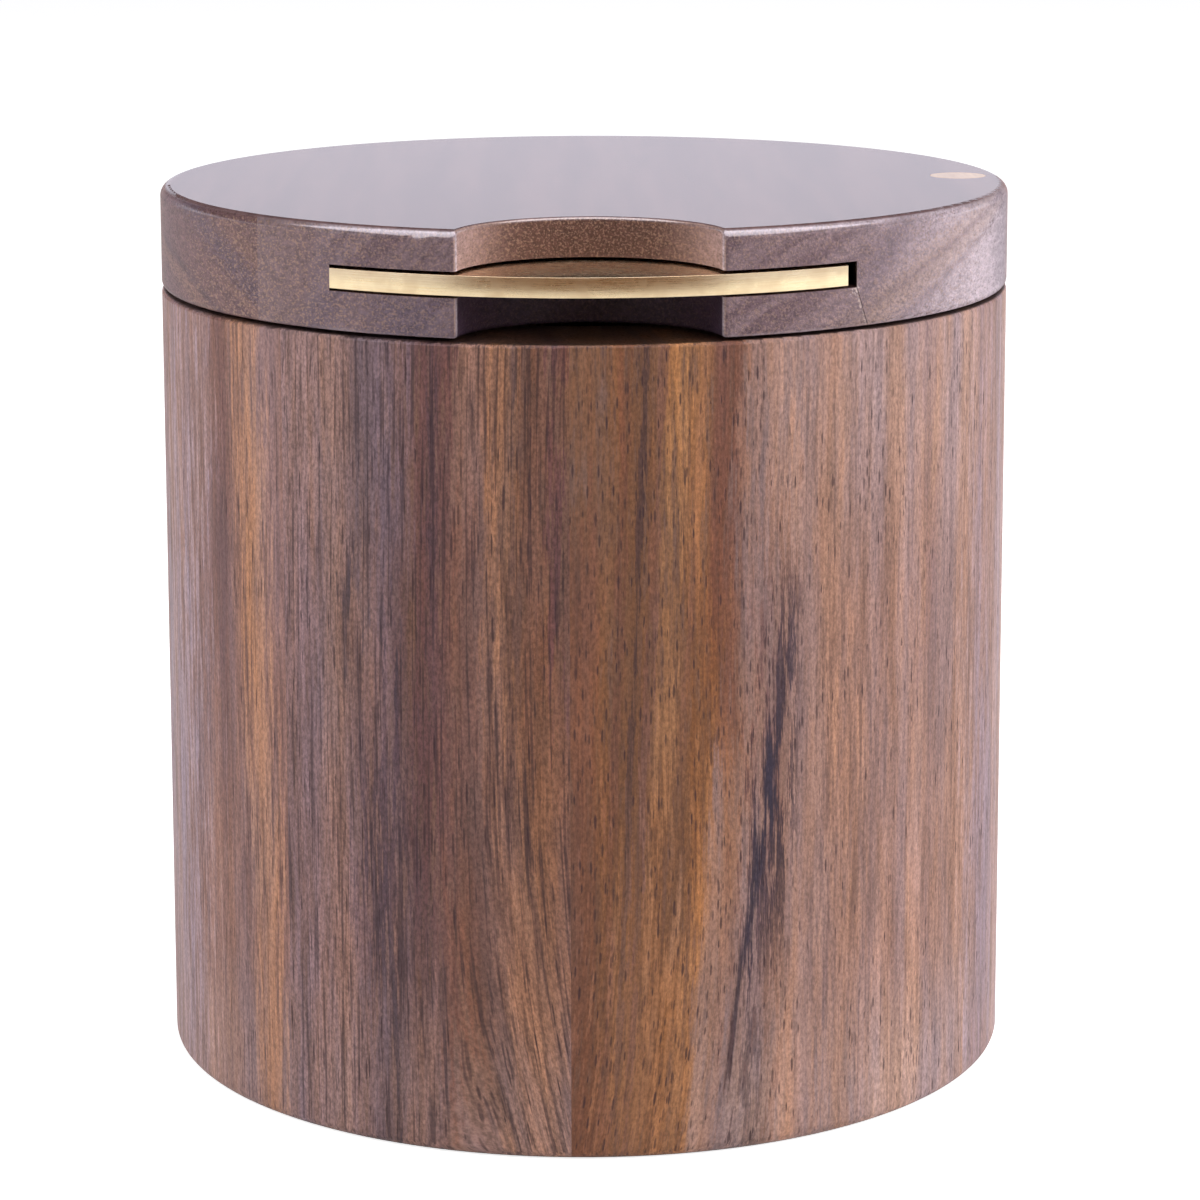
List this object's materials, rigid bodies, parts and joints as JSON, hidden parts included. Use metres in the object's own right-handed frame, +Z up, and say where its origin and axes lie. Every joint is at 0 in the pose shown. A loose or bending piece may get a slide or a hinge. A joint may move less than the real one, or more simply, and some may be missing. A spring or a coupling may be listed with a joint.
{
  "type": "salt box",
  "caption": "Round wooden salt box with a flat lid that swivels sideways on an upright pivot, with a brass tab across a thumb scoop in its edge.",
  "frame": {"origin": "centre of the base, on the surface the box stands on", "axes": "+Z up, through the middle of the box; the brass tab in the lid faces -Y; the lid's pivot is on the +X side"},
  "size_m": [0.09, 0.09, 0.0931],
  "materials": {
    "body_wood": "oiled brown wood with upright grain",
    "lid_wood": "oiled dark brown wood, grain from front to back",
    "tab_brass": "brushed brass",
    "plug_wood": "pale wood, sanded flush",
    "insert_brass": "machined brass",
    "screw_steel": "plain steel",
    "washer_plastic": "plain white plastic",
    "magnet_nickel": "nickel plated"
  },
  "bodies": {
    "box": {"body_board_left": "body_wood", "body_board_middle": "body_wood", "body_board_right": "body_wood", "threaded_insert": "insert_brass", "pivot_screw": "screw_steel", "spacer_washer": "washer_plastic", "body_magnet": "magnet_nickel"},
    "lid": {"lid_board_left": "lid_wood", "lid_board_right": "lid_wood", "brass_tab": "tab_brass", "pivot_plug": "plug_wood", "pivot_sleeve": "insert_brass", "lid_magnet": "magnet_nickel"}
  },
  "joints": [
    {"name": "lid_swivel", "type": "hinge", "parent": "box", "child": "lid", "pos_m": [0.04011, 0.00168, 0.0825], "axis": [0, 0, 1], "continuous": true}
  ]
}
